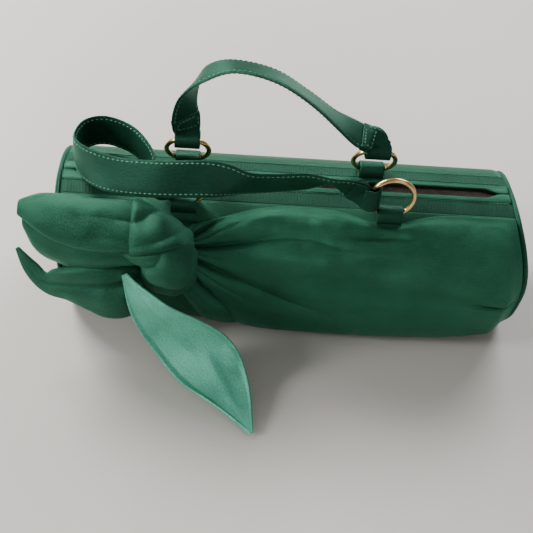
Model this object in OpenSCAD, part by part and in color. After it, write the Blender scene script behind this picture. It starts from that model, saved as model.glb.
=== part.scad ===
// Satin barrel handbag with a side bow, piped round ends, a zip top and two
// strap handles hung on metal rings.
// Frame: X runs along the barrel (right +), Y to the back, Z up.
// The origin is the middle of the flat base, on the face that the bag rests on.

/* [Body] */
// Length of the bag over the piped ends
body_l = 310; // [290:5:330]
// Depth of the barrel, front to back
body_d = 108; // [104:1:112]
// Height of the barrel, base to zip
body_h = 100; // [98:1:102]
// Thickness of a satin panel with its interlining
panel_t = 1.6; // [1.2:0.1:2]
// Thickness of the lining
lining_t = 0.8; // [0.6:0.1:1.2]
// Width of the piping that edges each round end
piping_w = 4; // [3:0.5:5]

/* [Zip] */
// How far the zip sits forward of the barrel's middle
zip_shift = 6; // [5:0.5:7]
// Width of the closed row of teeth
teeth_w = 5; // [4:0.5:6]
// Distance from one tooth to the next on a side
tooth_pitch = 3; // [2.5:0.5:4]
// Width of the satin welt on each side of the teeth
welt_w = 4; // [3:0.5:5]

/* [Handles] */
// Distance of the two left tabs from the middle of the bag
tab_left = 73; // [70:1:76]
// Distance of the front right tab from the middle of the bag
tab_front_right = 64; // [60:1:68]
// Distance of the back right tab from the middle of the bag
tab_back_right = 54; // [50:1:58]
// Outer diameter of a ring
ring_d = 32; // [30:1:33]
// Wire diameter of a ring
ring_wire = 3.4; // [3:0.2:3.8]
// Width of the strap
strap_w = 24; // [20:1:26]
// Thickness of the strap
strap_t = 2.6; // [2:0.2:3]
// Width of a tab and of the strap's fold, where they pass round a ring
fold_w = 17; // [15:1:18]
// Thickness of the cloth round a ring
fold_t = 1.3; // [1:0.1:1.6]

/* [Bow] */
// How far the draped front stands off the panel behind it
drape_t = 5; // [3:0.5:6]
// Thickness of a bow tail
tail_t = 4.4; // [3:0.2:5]
// Distance of the knot from the middle of the bag
knot_x = 82; // [80:1:86]

/* [Hidden] */

// Barrel section: two top arcs and two tighter base arcs with tangent flats
top_r = 50;
base_r = 30;
top_y = body_d / 2 - top_r;
top_z = body_h - top_r;
base_y = body_d / 2 - base_r;
round_fn = 96;
far = 200;

// Stations along the barrel
panel_x = body_l / 2 - piping_w;
end_t = 2;
piping_proud = 1;
ruche_y = 17;

// Zip levels and lines
zip_y = -zip_shift;
tape_t = 0.6;
tape_z = body_h - 3.5;
tape_reach = 9;
welt_gap = 2.2;
tooth_h = 2;
zip_end = panel_x - 4;
slider_x = -128;
slider_l = 11;
slider_w = 9;
slider_h = 2.4;
pull_l = 20;
pull_w = 7;
pull_t = 1.6;
pull_pin_r = 0.8;
pull_z = tape_z + tape_t + tooth_h + slider_h;

// Ring centre line, and where a ring's lowest wire turns in its tab
wire_r = ring_wire / 2;
ring_r = ring_d / 2 - wire_r;
wire_gap = 0.25;
fold_bore = ring_r - sqrt(pow(ring_r - wire_r, 2) - pow(fold_w / 2, 2)) + wire_gap;
fold_r = fold_bore + fold_t;
front_y = -32;
front_z = 98;
back_y = 9;
back_z = 103.5;

// The back rings lean forward, and the standing strap turns on their highest points
back_lean = 26;
handle_y = back_y - 2 * ring_r * sin(back_lean);
handle_z = back_z + 2 * ring_r * cos(back_lean);

function lerp(a, b, t) = a + (b - a) * t;
function unit(v) = v / norm(v);

// Catmull-Rom blend of four neighbouring stations
function spline(a, b, c, d, t) =
    0.5 * (2 * b + (c - a) * t + (2 * a - 5 * b + 4 * c - d) * t * t + (3 * b - a - 3 * c + d) * t * t * t);

function smooth_path(list, steps) = [
    for (i = [0 : len(list) - 2])
        for (s = [0 : steps - (i == len(list) - 2 ? 0 : 1)])
            spline(
                list[max(i - 1, 0)], list[i], list[i + 1], list[min(i + 2, len(list) - 1)],
                s / steps
            )
];

// A station is [x, y, z, width direction x, y, z, width].
// The ribbon is swept along the smoothed stations with rounded edges.
function place(s) = [s[0], s[1], s[2]];
function side(s, ahead) =
    let (v = [s[3], s[4], s[5]])
    unit(v - (v * ahead) * ahead);

function ribbon_section(s, ahead, t) =
    let (u = side(s, ahead), n = cross(ahead, u), w = s[6] / 2, h = t / 2, e = min(h, w / 2))
    [for (q = [[-w, 0], [-w + e, -h], [w - e, -h], [w, 0], [w - e, h], [-w + e, h]])
        place(s) + q[0] * u + q[1] * n];

module ribbon(stations, t, steps = 6) {
    path = smooth_path(stations, steps);
    last = len(path) - 1;
    sides = 6;
    points = [
        for (i = [0 : last])
            let (ahead = unit(place(path[min(i + 1, last)]) - place(path[max(i - 1, 0)])))
            each ribbon_section(path[i], ahead, t)
    ];
    walls = [
        for (i = [0 : last - 1])
            for (k = [0 : sides - 1])
                let (a = i * sides + k, b = i * sides + (k + 1) % sides)
                each [[a, b + sides, b], [a, a + sides, b + sides]]
    ];
    start_cap = [for (k = [1 : sides - 2]) [0, k, k + 1]];
    end_cap = [for (k = [1 : sides - 2]) [last * sides, last * sides + k + 1, last * sides + k]];
    polyhedron(points = points, faces = concat(walls, start_cap, end_cap), convexity = 6);
}

// The barrel's section, pulled in by inset
module section(inset = 0) {
    for (s = [-1, 1]) {
        translate([s * top_y, top_z]) circle(r = top_r - inset, $fn = round_fn);
        translate([s * base_y, base_r]) circle(r = base_r - inset, $fn = round_fn);
    }
    translate([-top_y, inset]) square([2 * top_y, body_h - 2 * inset]);
    translate([-base_y, inset]) square([2 * base_y, top_z - inset]);
    translate([-body_d / 2 + inset, base_r]) square([body_d - 2 * inset, top_z - base_r]);
}

// Sweeps a section drawn in (Y, Z) from x0 to x1
module along_x(x0, x1) {
    translate([x0, 0, 0])
        rotate([90, 0, 90])
            linear_extrude(x1 - x0) children();
}

// The wall between two insets, kept only inside the child's outline
module wall(x0, x1, outer, inner) {
    along_x(x0, x1)
        intersection() {
            difference() {
                section(outer);
                section(inner);
            }
            children();
        }
}

module column(y0, y1, z0 = 0, z1 = far) {
    translate([y0, z0]) square([y1 - y0, z1 - z0]);
}

// Shell

front_edge = zip_y - ruche_y - teeth_w / 2;
back_edge = zip_y + ruche_y + teeth_w / 2;

module front_panel() {
    color("seagreen")
        wall(-panel_x, panel_x, 0, panel_t)
            union() {
                column(-far, front_edge, top_z);
                column(-far, -base_y, 0, top_z);
            }
}

module back_panel() {
    color("seagreen")
        wall(-panel_x, panel_x, 0, panel_t)
            union() {
                column(back_edge, far, top_z);
                column(base_y, far, 0, top_z);
            }
}

module base_panel() {
    color("darkgreen")
        wall(-panel_x, panel_x, 0, panel_t)
            column(-base_y, base_y, 0, panel_t);
}

module end_panel(s) {
    x0 = s > 0 ? panel_x : -panel_x - end_t;
    color("seagreen")
        along_x(x0, x0 + end_t) section(piping_w - piping_proud);
}

// A cord-filled edge: stacked rings that round off towards both sides,
// pressed flat where the bag rests
module piping(s) {
    mid = s * (panel_x + piping_w / 2);
    color("mediumseagreen")
        for (step = [[piping_w / 2, 0.4], [piping_w / 4, 0]])
            along_x(mid - step[0], mid + step[0])
                intersection() {
                    difference() {
                        section(step[1] - piping_proud);
                        section(piping_w - piping_proud - step[1]);
                    }
                    column(-far, far);
                }
}

module top_strip(y0, y1) {
    color("mediumseagreen")
        wall(-panel_x, panel_x, 0, panel_t) column(y0, y1, top_z);
}

// Zip

module zip_welt(y0, y1) {
    color("seagreen")
        wall(-panel_x, panel_x, 0.2, panel_t) column(y0, y1, top_z);
}

module zip_tape(s) {
    y0 = s < 0 ? zip_y - tape_reach : zip_y + 0.1;
    color("darkslategray")
        translate([-panel_x, y0, tape_z])
            cube([2 * panel_x, tape_reach - 0.1, tape_t]);
}

// One row of teeth on a moulded bead; the rows interlock, so a tooth of one
// side sits between two of the other
module zip_teeth(s) {
    count = floor(2 * zip_end / tooth_pitch);
    tooth_l = tooth_pitch * 0.42;
    start = -zip_end + (s > 0 ? tooth_pitch / 2 : 0);
    bead_w = teeth_w / 2 - 0.9;
    color("saddlebrown")
        translate([0, zip_y, tape_z + tape_t]) {
            translate([-zip_end, s > 0 ? 0.9 : -0.9 - bead_w, 0])
                cube([2 * zip_end, bead_w, tooth_h * 0.7]);
            for (i = [0 : count - 1])
                translate([start + i * tooth_pitch, s > 0 ? -0.8 : -teeth_w / 2, 0])
                    cube([tooth_l, teeth_w / 2 + 0.8, tooth_h]);
        }
}

module zip_stop(s) {
    x0 = s > 0 ? zip_end + tooth_pitch : -zip_end - 1 - 2;
    color("saddlebrown")
        translate([x0, zip_y - teeth_w / 2, tape_z + tape_t])
            cube([s > 0 ? 1 : 2, teeth_w, tooth_h]);
}

// The slider rides over the teeth, with a bridge that holds the pull's pin
module zip_slider() {
    z0 = tape_z + tape_t + tooth_h + 0.05;
    ear = 1.2;
    color("goldenrod")
        difference() {
            union() {
                translate([slider_x - slider_l / 2, zip_y - slider_w / 2, z0])
                    cube([slider_l, slider_w, slider_h - 1]);
                for (s = [-1, 1])
                    translate([slider_x - 3, zip_y + s * (pull_w / 2 - ear) - ear / 2, z0])
                        cube([4, ear, slider_h + 1.2]);
            }
            translate([slider_x - 1, zip_y, pull_z])
                rotate([90, 0, 0]) cylinder(r = pull_pin_r + 0.05, h = far, center = true, $fn = 24);
        }
}

// The pull hangs on a pin through the slider's ears and lies flat to the right
module zip_pull() {
    bar = 1;
    pin_l = pull_w;
    color("goldenrod")
        translate([slider_x - 1, zip_y, pull_z])
            difference() {
                union() {
                    rotate([90, 0, 0]) cylinder(r = pull_pin_r, h = pin_l, center = true, $fn = 24);
                    translate([0, -bar, -pull_pin_r]) cube([4.2, 2 * bar, 2 * pull_pin_r]);
                    translate([3.5, -pull_w / 2, -pull_pin_r])
                        cube([pull_l - pull_w / 2 - 3.5, pull_w, pull_t]);
                    translate([pull_l - pull_w / 2, 0, -pull_pin_r])
                        cylinder(d = pull_w, h = pull_t, $fn = 32);
                }
                translate([pull_l - pull_w / 2, 0, -far / 2]) cylinder(d = 3, h = far, $fn = 24);
            }
}

// The lining's mouth stops at the zip tapes, and its round ends are closed
module lining() {
    reach = panel_x - 0.2;
    mouth = tape_reach + 0.6;
    color("dimgray") {
        difference() {
            along_x(-reach, reach) section(panel_t);
            along_x(-reach + lining_t, reach - lining_t) section(panel_t + lining_t);
            along_x(-reach - 1, reach + 1) column(zip_y - mouth, zip_y + mouth, tape_z - 2.5);
        }
    }
}

// Handles

// A ring's wire turns about its own lowest or highest point, inside a round
// fold of cloth along X with this much room
module fold_room() {
    rotate([0, 90, 0]) cylinder(r = fold_bore, h = 2 * fold_w, center = true, $fn = 48);
}

module fold_roll(w = fold_w) {
    rotate([0, 90, 0]) cylinder(r = fold_r, h = w, center = true, $fn = 48);
}

// A cloth loop round the wire, with a neck that reaches down from it into the seam
module tab(x, y, z, tilt) {
    loop_w = fold_w - 3;
    neck_w = fold_w + 4;
    neck_l = 14;
    color("seagreen")
        difference() {
            translate([x, y, z])
                difference() {
                    union() {
                        fold_roll(loop_w);
                        rotate([tilt, 0, 0])
                            translate([-neck_w / 2, -fold_t, 0]) cube([neck_w, 2 * fold_t, neck_l]);
                    }
                    fold_room();
                }
            along_x(-far, far) section(0);
        }
}

module ring(x, y, z, lean) {
    color("gold")
        translate([x, y, z])
            rotate([90 + lean, 0, 0])
                translate([0, ring_r, 0])
                    rotate_extrude($fn = 96) translate([ring_r, 0]) circle(r = wire_r, $fn = 32);
}

// Back strap: up from the left ring, over a lopsided arch, down to the right ring
back_stations = [
    [-tab_left, handle_y, handle_z + 2.4, 1, 0, 0, fold_w - 2],
    [-tab_left - 1, handle_y, handle_z + 12, 0.85, 0.5, 0, strap_w - 3],
    [-tab_left - 2, handle_y, handle_z + 24, 0.65, 0.75, 0, strap_w - 1],
    [-tab_left + 1, handle_y, handle_z + 37, 0.5, 0.85, 0, strap_w],
    [-tab_left + 10, handle_y, handle_z + 50, 0.2, 1, 0, strap_w],
    [-tab_left + 28, handle_y, handle_z + 57, 0, 1, -0.2, strap_w],
    [-tab_left + 54, handle_y, handle_z + 52, 0, 1, -0.2, strap_w],
    [tab_back_right - 50, handle_y, handle_z + 38, 0, 1, -0.2, strap_w],
    [tab_back_right - 30, handle_y, handle_z + 22, 0.1, 1, -0.1, strap_w],
    [tab_back_right - 15, handle_y, handle_z + 12, 0.6, 1, 0, strap_w - 1],
    [tab_back_right - 4, handle_y, handle_z + 7.5, 1, 0.4, 0, strap_w - 4],
    [tab_back_right, handle_y, handle_z + 2.4, 1, 0, 0, fold_w - 2]
];

module handle_back() {
    color("seagreen")
        difference() {
            union() {
                ribbon(back_stations, strap_t);
                for (x = [-tab_left, tab_back_right])
                    translate([x, handle_y, handle_z]) fold_roll();
            }
            for (x = [-tab_left, tab_back_right])
                translate([x, handle_y, handle_z]) fold_room();
        }
}

// Front strap: from the right ring it lies on edge along the top to the left
// end, turns back in a loop and returns to the left ring.
// It passes round the left side of each ring.
grip_z = front_z + ring_r;
grip_left = -tab_left - ring_r;
grip_right = tab_front_right - ring_r;
front_stations = [
    [grip_right - 2.4, front_y, grip_z, 0, 0, 1, fold_w - 2],
    [grip_right - 14, front_y, grip_z + 6, 0, -0.35, 0.95, strap_w - 3],
    [grip_right - 27, front_y + 1, grip_z + 9.5, 0, -0.7, 0.7, strap_w],
    [grip_right - 44, front_y, grip_z + 9, 0, -0.45, 0.9, strap_w],
    [-18, front_y - 4, grip_z + 9, 0, -0.38, 0.92, strap_w],
    [-34, front_y - 8, grip_z + 11, 0, -0.3, 0.95, strap_w],
    [-48, front_y - 10, grip_z + 14, 0, 0.2, 0.98, strap_w],
    [-61, front_y - 11, grip_z + 15, 0, 0.55, 0.83, strap_w],
    [-90, front_y - 10, grip_z + 12, 0, 0.68, 0.73, strap_w],
    [-118, front_y - 2, grip_z + 7, 0, 0.6, 0.8, strap_w],
    [-137, front_y + 10, grip_z + 5, 0, 0.35, 0.95, strap_w],
    [-147, front_y + 26, grip_z + 4.5, 0, 0, 1, strap_w],
    [-143, front_y + 44, grip_z + 4.5, 0, 0, 1, strap_w],
    [-129, front_y + 50, grip_z + 4.5, 0, 0, 1, strap_w],
    [-110, front_y + 40, grip_z + 4.5, 0, 0, 1, strap_w],
    [grip_left - 9, front_y + 20, grip_z + 4, 0, 0, 1, strap_w - 2],
    [grip_left - 5, front_y + 6, grip_z + 1.5, 0, 0, 1, strap_w - 5],
    [grip_left - 2.4, front_y, grip_z, 0, 0, 1, fold_w - 2]
];

module handle_front() {
    color("seagreen")
        difference() {
            union() {
                ribbon(front_stations, strap_t, 4);
                for (x = [grip_left, grip_right])
                    translate([x, front_y, grip_z]) rotate([0, 90, 0]) fold_roll();
            }
            for (x = [grip_left, grip_right])
                translate([x, front_y, grip_z]) rotate([0, 90, 0]) fold_room();
        }
}

// Bow

drape_top_y = -32;
drape_foot_z = 2;

// The drape's top edge dips under each front tab
tab_dip_r = 18;

// Seen from the front: full height on the right, gathered to the knot on the left
module drape_outline() {
    polygon([
        [-knot_x + 14, 60], [-knot_x + 14, 84], [-knot_x + 46, 92], [-knot_x + 82, far],
        [panel_x, far], [panel_x, drape_foot_z], [-20, drape_foot_z], [-45, 24]
    ]);
}

module drape_panel() {
    color("mediumseagreen")
        difference() {
            intersection() {
                wall(-far, panel_x, -drape_t, 0) column(-far, drape_top_y, drape_foot_z);
                rotate([90, 0, 0]) linear_extrude(far) drape_outline();
            }
            for (x = [-tab_left, tab_front_right])
                translate([x, front_y, front_z]) sphere(r = tab_dip_r, $fn = 48);
        }
}

module ball(x, y, z, r) {
    translate([x, y, z]) sphere(r = r, $fn = 28);
}

module knot_form() {
    hull() {
        ball(-knot_x, -60, 90, 11);
        ball(-knot_x + 2, -63, 70, 14);
        ball(-knot_x - 2, -62, 54, 11);
    }
}

module bag_form() {
    along_x(-body_l / 2 - 0.2, body_l / 2) section(-1.2);
}

module bow_knot() {
    color("seagreen")
        difference() {
            knot_form();
            along_x(-body_l / 2, body_l / 2) section(0);
            wall(-far, far, -drape_t, 0) column(-far, drape_top_y, drape_foot_z);
        }
}

// The loop stands out to the left, past the piped end
module bow_loop() {
    color("mediumseagreen")
        difference() {
            hull() {
                ball(-knot_x - 14, -66, 80, 8);
                ball(-knot_x - 46, -68, 90, 11);
                ball(-knot_x - 46, -68, 76, 11);
                ball(-knot_x - 84, -52, 99, 8);
                ball(-knot_x - 80, -58, 78, 8);
            }
            knot_form();
            bag_form();
        }
}

// The broad part of the left tail; room adds space round it
module left_tail_form(room = 0) {
    hull() {
        ball(-knot_x - 10, -64, 50, 6 + room);
        ball(-knot_x - 44, -66, 18, 6 + room);
        ball(-knot_x - 72, -62, 30, 7 + room);
        ball(-knot_x - 60, -64, 46, 6 + room);
    }
}

module bow_tail_left() {
    color("seagreen")
        difference() {
            union() {
                left_tail_form();
                hull() {
                    ball(-knot_x - 72, -62, 30, 7);
                    ball(-knot_x - 68, -62, 42, 6);
                    ball(-knot_x - 94, -50, 70, 4);
                }
            }
            knot_form();
            bag_form();
        }
}

// The long tail falls from the knot to the resting face and runs out to a point
tail_stations = [
    [-knot_x - 6, -72, 50, 0.85, 0, 0.5, 20],
    [-knot_x + 1, -80, 34, 0.9, 0, 0.45, 34],
    [-knot_x + 14, -86, 17, 0.9, 0, 0.4, 42],
    [-knot_x + 24, -96, 7.5, 0.9, 0.3, 0.15, 42],
    [-knot_x + 40, -116, 4, 0.85, 0.5, 0, 32],
    [-knot_x + 60, -146, 3, 0.85, 0.5, 0, 4]
];

module bow_tail_right() {
    color("mediumseagreen")
        difference() {
            ribbon(tail_stations, tail_t);
            knot_form();
            left_tail_form(0.3);
            bag_form();
            wall(-far, far, -drape_t - 0.3, 0) column(-far, drape_top_y, drape_foot_z);
        }
}

welt_near = teeth_w / 2 + welt_gap;
welt_edge = welt_near + welt_w;

front_panel();
back_panel();
base_panel();
end_panel(-1);  // end_panel_left
end_panel(1);  // end_panel_right
piping(-1);  // piping_left
piping(1);  // piping_right
top_strip(front_edge, zip_y - welt_edge);  // top_strip_front
top_strip(zip_y + welt_edge, back_edge);  // top_strip_back
zip_welt(zip_y - welt_edge, zip_y - welt_near);  // zip_welt_front
zip_welt(zip_y + welt_near, zip_y + welt_edge);  // zip_welt_back
zip_tape(-1);  // zip_tape_front
zip_tape(1);  // zip_tape_back
zip_teeth(-1);  // zip_teeth_front
zip_teeth(1);  // zip_teeth_back
zip_stop(-1);  // zip_stop_left
zip_stop(1);  // zip_stop_right
zip_slider();
zip_pull();
lining();
tab(-tab_left, front_y, front_z, 150);  // tab_front_left
tab(tab_front_right, front_y, front_z, 150);
tab(-tab_left, back_y, back_z, 180);  // tab_back_left
tab(tab_back_right, back_y, back_z, 180);
ring(-tab_left, front_y, front_z, 0);  // ring_front_left
ring(tab_front_right, front_y, front_z, 0);  // ring_front_right
ring(-tab_left, back_y, back_z, back_lean);  // ring_back_left
ring(tab_back_right, back_y, back_z, back_lean);  // ring_back_right
handle_front();
handle_back();
drape_panel();
bow_knot();
bow_loop();
bow_tail_left();
bow_tail_right();
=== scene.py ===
"""Satin barrel handbag with a side bow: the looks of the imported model."""

import math

import bmesh
import bpy
import numpy as np
from mathutils import Euler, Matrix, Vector, noise


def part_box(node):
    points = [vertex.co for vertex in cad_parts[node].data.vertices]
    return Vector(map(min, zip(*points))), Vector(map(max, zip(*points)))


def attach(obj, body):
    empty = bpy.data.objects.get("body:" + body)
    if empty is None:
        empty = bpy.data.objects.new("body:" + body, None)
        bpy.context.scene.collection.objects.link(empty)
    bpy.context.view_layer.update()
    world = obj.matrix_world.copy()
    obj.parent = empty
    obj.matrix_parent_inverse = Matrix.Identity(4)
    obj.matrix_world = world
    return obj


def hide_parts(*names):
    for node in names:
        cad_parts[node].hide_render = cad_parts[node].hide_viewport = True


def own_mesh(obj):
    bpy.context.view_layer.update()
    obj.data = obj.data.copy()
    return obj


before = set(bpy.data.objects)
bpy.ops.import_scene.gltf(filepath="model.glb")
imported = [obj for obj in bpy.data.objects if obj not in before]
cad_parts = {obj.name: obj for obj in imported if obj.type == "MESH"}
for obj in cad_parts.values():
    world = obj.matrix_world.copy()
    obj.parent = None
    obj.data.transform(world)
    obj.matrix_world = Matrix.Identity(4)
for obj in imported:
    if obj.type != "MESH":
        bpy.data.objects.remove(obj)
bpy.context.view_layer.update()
MM = 0.001

# ---------------------------------------------------------------- camera and light

CAMERA_PLACE = (-0.0477, -0.513, 0.4929)
CAMERA_TURN = (46.93, -4.25, 0.0)
CAMERA_LENS = 63.2


def make_camera():
    data = bpy.data.cameras.new("camera")
    data.lens = CAMERA_LENS
    camera = bpy.data.objects.new("camera", data)
    camera.location = CAMERA_PLACE
    camera.rotation_euler = Euler([math.radians(a) for a in CAMERA_TURN])
    bpy.context.collection.objects.link(camera)
    bpy.context.scene.camera = camera


def area_light(name, place, target, size, power, colour):
    data = bpy.data.lights.new(name, "AREA")
    data.shape = "RECTANGLE"
    data.size, data.size_y = size
    data.energy = power
    data.color = colour
    lamp = bpy.data.objects.new(name, data)
    lamp.location = place
    lamp.rotation_euler = (Vector(target) - Vector(place)).to_track_quat("-Z", "Y").to_euler()
    bpy.context.collection.objects.link(lamp)


def make_lights():
    area_light("window", (-0.85, 0.75, 0.95), (0.0, 0.02, 0.04), (0.7, 0.6), 31, (1.0, 0.985, 0.96))
    area_light("garden_door", (0.75, 1.15, 1.0), (0.1, 0.1, 0.04), (0.9, 0.6), 20, (0.98, 0.99, 1.0))
    area_light("side_lamp", (-1.25, -0.36, 0.6), (-0.1, -0.05, 0.1), (0.3, 0.35), 12, (1.0, 0.99, 0.97))
    area_light("room_wall", (0.7, -1.5, 0.75), (0.06, -0.04, 0.05), (0.8, 0.5), 3.2, (1.0, 0.99, 0.97))
    world = bpy.data.worlds.new("room")
    world.use_nodes = True
    background = world.node_tree.nodes["Background"]
    background.inputs["Color"].default_value = (0.92, 0.91, 0.89, 1.0)
    background.inputs["Strength"].default_value = 0.27
    bpy.context.scene.world = world


# ---------------------------------------------------------------- materials


class Nodes:
    """A short way to build a material's node tree."""

    def __init__(self, name):
        self.material = bpy.data.materials.new(name)
        self.material.use_nodes = True
        self.tree = self.material.node_tree
        self.shader = self.tree.nodes["Principled BSDF"]

    def add(self, kind, inputs=None, **settings):
        made = self.tree.nodes.new(kind)
        for key, value in settings.items():
            setattr(made, key, value)
        for key, value in (inputs or {}).items():
            self.set(made, key, value)
        return made

    def set(self, made, key, value):
        if isinstance(value, bpy.types.NodeSocket):
            self.tree.links.new(value, made.inputs[key])
        else:
            made.inputs[key].default_value = value

    def shade(self, **inputs):
        for key, value in inputs.items():
            self.set(self.shader, key.replace("_", " "), value)

    def math(self, operation, a, b):
        return self.add("ShaderNodeMath", {0: a, 1: b}, operation=operation).outputs[0]

    def noise(self, vector, scale, detail=3.0, rough=0.5):
        made = self.add(
            "ShaderNodeTexNoise", {"Vector": vector, "Scale": scale, "Detail": detail, "Roughness": rough}
        )
        return made.outputs["Fac"]

    def ramp(self, value, stops):
        made = self.add("ShaderNodeValToRGB", {"Fac": value})
        points = made.color_ramp.elements
        while len(points) < len(stops):
            points.new(0.5)
        for point, (place, colour) in zip(points, stops):
            point.position = place
            point.color = (*colour, 1.0)
        return made.outputs["Color"]


def cloth_uv(nodes):
    return nodes.add("ShaderNodeTexCoord").outputs["UV"]


def object_place(nodes):
    return nodes.add("ShaderNodeTexCoord").outputs["Object"]


SATIN_CREASE, SATIN_BUMP, SATIN_METALLIC = 0.5, 0.65, 0.5
SHEEN_TINT = (0.25, 1.0, 0.68, 1.0)
GLOSS_TINT = (0.5, 1.0, 0.76, 1.0)


def satin(name, dark, light, gloss, sheen, grain=0.5):
    """Satin: a long-float weave along one thread, with slubs, specks, soft creases and a bright sheen."""
    n = Nodes(name)
    uv = cloth_uv(n)
    place = object_place(n)
    cloud = n.noise(place, 24.0, 4.0, 0.6)
    slub = n.noise(n.add("ShaderNodeMapping", {"Vector": uv, "Scale": (1.6, 22.0, 1.0)}).outputs[0], 1.0)
    speck = n.noise(uv, 11.0, 3.0, 0.85)
    blend = n.math("ADD", n.math("MULTIPLY", cloud, 0.3), n.math("MULTIPLY", slub, 0.15))
    blend = n.math("ADD", blend, n.math("MULTIPLY", speck, 0.55))
    colour = n.ramp(blend, [(0.40, dark), (0.60, light)])
    warp = n.add(
        "ShaderNodeTexWave",
        {"Vector": uv, "Scale": 16.0, "Distortion": 1.5, "Detail": 2.0, "Detail Scale": 1.0},
        bands_direction="DIAGONAL",
    ).outputs["Fac"]
    crease = n.noise(place, 75.0, 5.0, 0.62)
    height = n.math("ADD", n.math("MULTIPLY", warp, 0.1), n.math("MULTIPLY", speck, grain))
    height = n.math("ADD", height, n.math("MULTIPLY", crease, SATIN_CREASE))
    bump = n.add("ShaderNodeBump", {"Height": height, "Strength": SATIN_BUMP, "Distance": 0.0008})
    rough = n.math("ADD", n.math("MULTIPLY", speck, 0.2), gloss - 0.1)
    n.shade(Base_Color=colour, Roughness=rough, Normal=bump.outputs["Normal"])
    n.shade(Sheen_Weight=sheen, Sheen_Roughness=0.35, Sheen_Tint=SHEEN_TINT)
    n.shade(Anisotropic=0.4, Specular_IOR_Level=0.4, Specular_Tint=GLOSS_TINT, Metallic=SATIN_METALLIC)
    return n.material


def metal(name, dark, light, rough):
    """Plated metal: a little uneven in colour, with fine scuffs."""
    n = Nodes(name)
    place = object_place(n)
    colour = n.ramp(n.noise(place, 180.0, 4.0, 0.6), [(0.3, dark), (0.7, light)])
    scuff = n.noise(place, 1400.0, 3.0, 0.6)
    bump = n.add("ShaderNodeBump", {"Height": scuff, "Strength": 0.12, "Distance": 0.0002})
    n.shade(Base_Color=colour, Metallic=1.0, Normal=bump.outputs["Normal"])
    n.shade(Roughness=n.math("ADD", n.math("MULTIPLY", scuff, 0.18), rough - 0.05))
    return n.material


def woven(name, dark, light, pitch_scale):
    """Plain woven cloth: crossing threads that show as a small grid."""
    n = Nodes(name)
    uv = cloth_uv(n)
    threads = {"Vector": uv, "Scale": pitch_scale, "Distortion": 0.6}
    bands = [
        n.add("ShaderNodeTexWave", threads, bands_direction=way).outputs["Fac"] for way in ("X", "Y")
    ]
    weave = n.math("MULTIPLY", bands[0], bands[1])
    colour = n.ramp(weave, [(0.1, dark), (0.8, light)])
    bump = n.add("ShaderNodeBump", {"Height": weave, "Strength": 0.4, "Distance": 0.0003})
    n.shade(Base_Color=colour, Roughness=0.7, Normal=bump.outputs["Normal"], Sheen_Weight=0.2)
    return n.material


def floor_material():
    n = Nodes("pale_floor")
    place = object_place(n)
    cloud = n.noise(place, 1.4, 3.0, 0.5)
    colour = n.ramp(cloud, [(0.3, (0.60, 0.567, 0.525)), (0.7, (0.66, 0.632, 0.595))])
    bump = n.add("ShaderNodeBump", {"Height": n.noise(place, 220.0), "Strength": 0.03, "Distance": 0.0004})
    n.shade(Base_Color=colour, Roughness=0.5, Normal=bump.outputs["Normal"], Specular_IOR_Level=0.25)
    return n.material


def make_materials():
    return {
        "body_satin": satin("body_satin", (0.0080, 0.052, 0.026), (0.0180, 0.106, 0.058), 0.38, 0.05),
        # Drape satin: the same green satin painted lighter than the body, painted light for the shaded front
        "drape_satin": satin("drape_satin", (0.0130, 0.080, 0.042), (0.0280, 0.158, 0.091), 0.36, 0.06),
        "bow_satin": satin("bow_satin", (0.0120, 0.070, 0.038), (0.0290, 0.146, 0.088), 0.36, 0.08, 0.8),
        # Right tail satin: the bow's satin painted far lighter, a painted sheen for the light the tail
        # catches
        "painted_sheen_tail_satin": satin("painted_sheen_tail_satin", (0.0900, 0.350, 0.240), (0.2000, 0.720, 0.550), 0.44, 0.15, 0.9),
        "strap_satin": satin("strap_satin", (0.0060, 0.038, 0.021), (0.0150, 0.078, 0.048), 0.33, 0.05),
        # Ruched strip satin: the same green satin painted darker than the body, painted shade for the
        # gathered top
        "ruched_satin": satin("ruched_satin", (0.0048, 0.032, 0.017), (0.0120, 0.066, 0.038), 0.48, 0.04),
        "piping_satin": satin("piping_satin", (0.0080, 0.054, 0.029), (0.0180, 0.106, 0.063), 0.38, 0.05),
        "thread": satin("thread", (0.090, 0.270, 0.180), (0.180, 0.430, 0.310), 0.5, 0.1),
        "lining": woven("lining", (0.004, 0.016, 0.012), (0.010, 0.034, 0.026), 40.0),
        "zip_tape": woven("zip_tape", (0.010, 0.013, 0.012), (0.028, 0.034, 0.030), 30.0),
        "zip_bronze": metal("zip_bronze", (0.014, 0.011, 0.009), (0.042, 0.031, 0.024), 0.45),
        "zip_slider_metal": metal("zip_slider_metal", (0.36, 0.25, 0.13), (0.62, 0.47, 0.28), 0.26),
        "ring_gold": metal("ring_gold", (0.66, 0.41, 0.17), (0.90, 0.62, 0.32), 0.2),
    }


make_camera()
make_lights()
MATERIALS = make_materials()

# ---------------------------------------------------------------- mesh helpers


def unit(v):
    """Vectors of length 1."""
    return v / np.maximum(np.linalg.norm(v, axis=-1, keepdims=True), 1e-9)


def ripple(points, scale, seed):
    """Smooth noise from -1 to 1 at each point; scale is the size of a bump in mm."""
    shift = Vector((seed * 17.3, seed * 5.1, seed * 9.7))
    flat = np.asarray(points, float).reshape(-1, 3) / scale
    values = [noise.noise(Vector(p) + shift) for p in flat]
    return np.array(values).reshape(np.asarray(points).shape[:-1])


def smooth_step(x, low, high):
    """Rises from 0 at low to 1 at high, level at both."""
    t = np.clip((x - low) / (high - low), 0.0, 1.0)
    return t * t * (3 - 2 * t)


def hump(x, middle, width):
    """A bell of height 1 at the middle, falling to a third a width away."""
    return np.exp(-(((x - middle) / width) ** 2))


def read_rows(at, known, rows):
    """Rows of numbers that are known at some places, read at others."""
    return np.stack([np.interp(at, known, column) for column in rows.T], -1)


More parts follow.
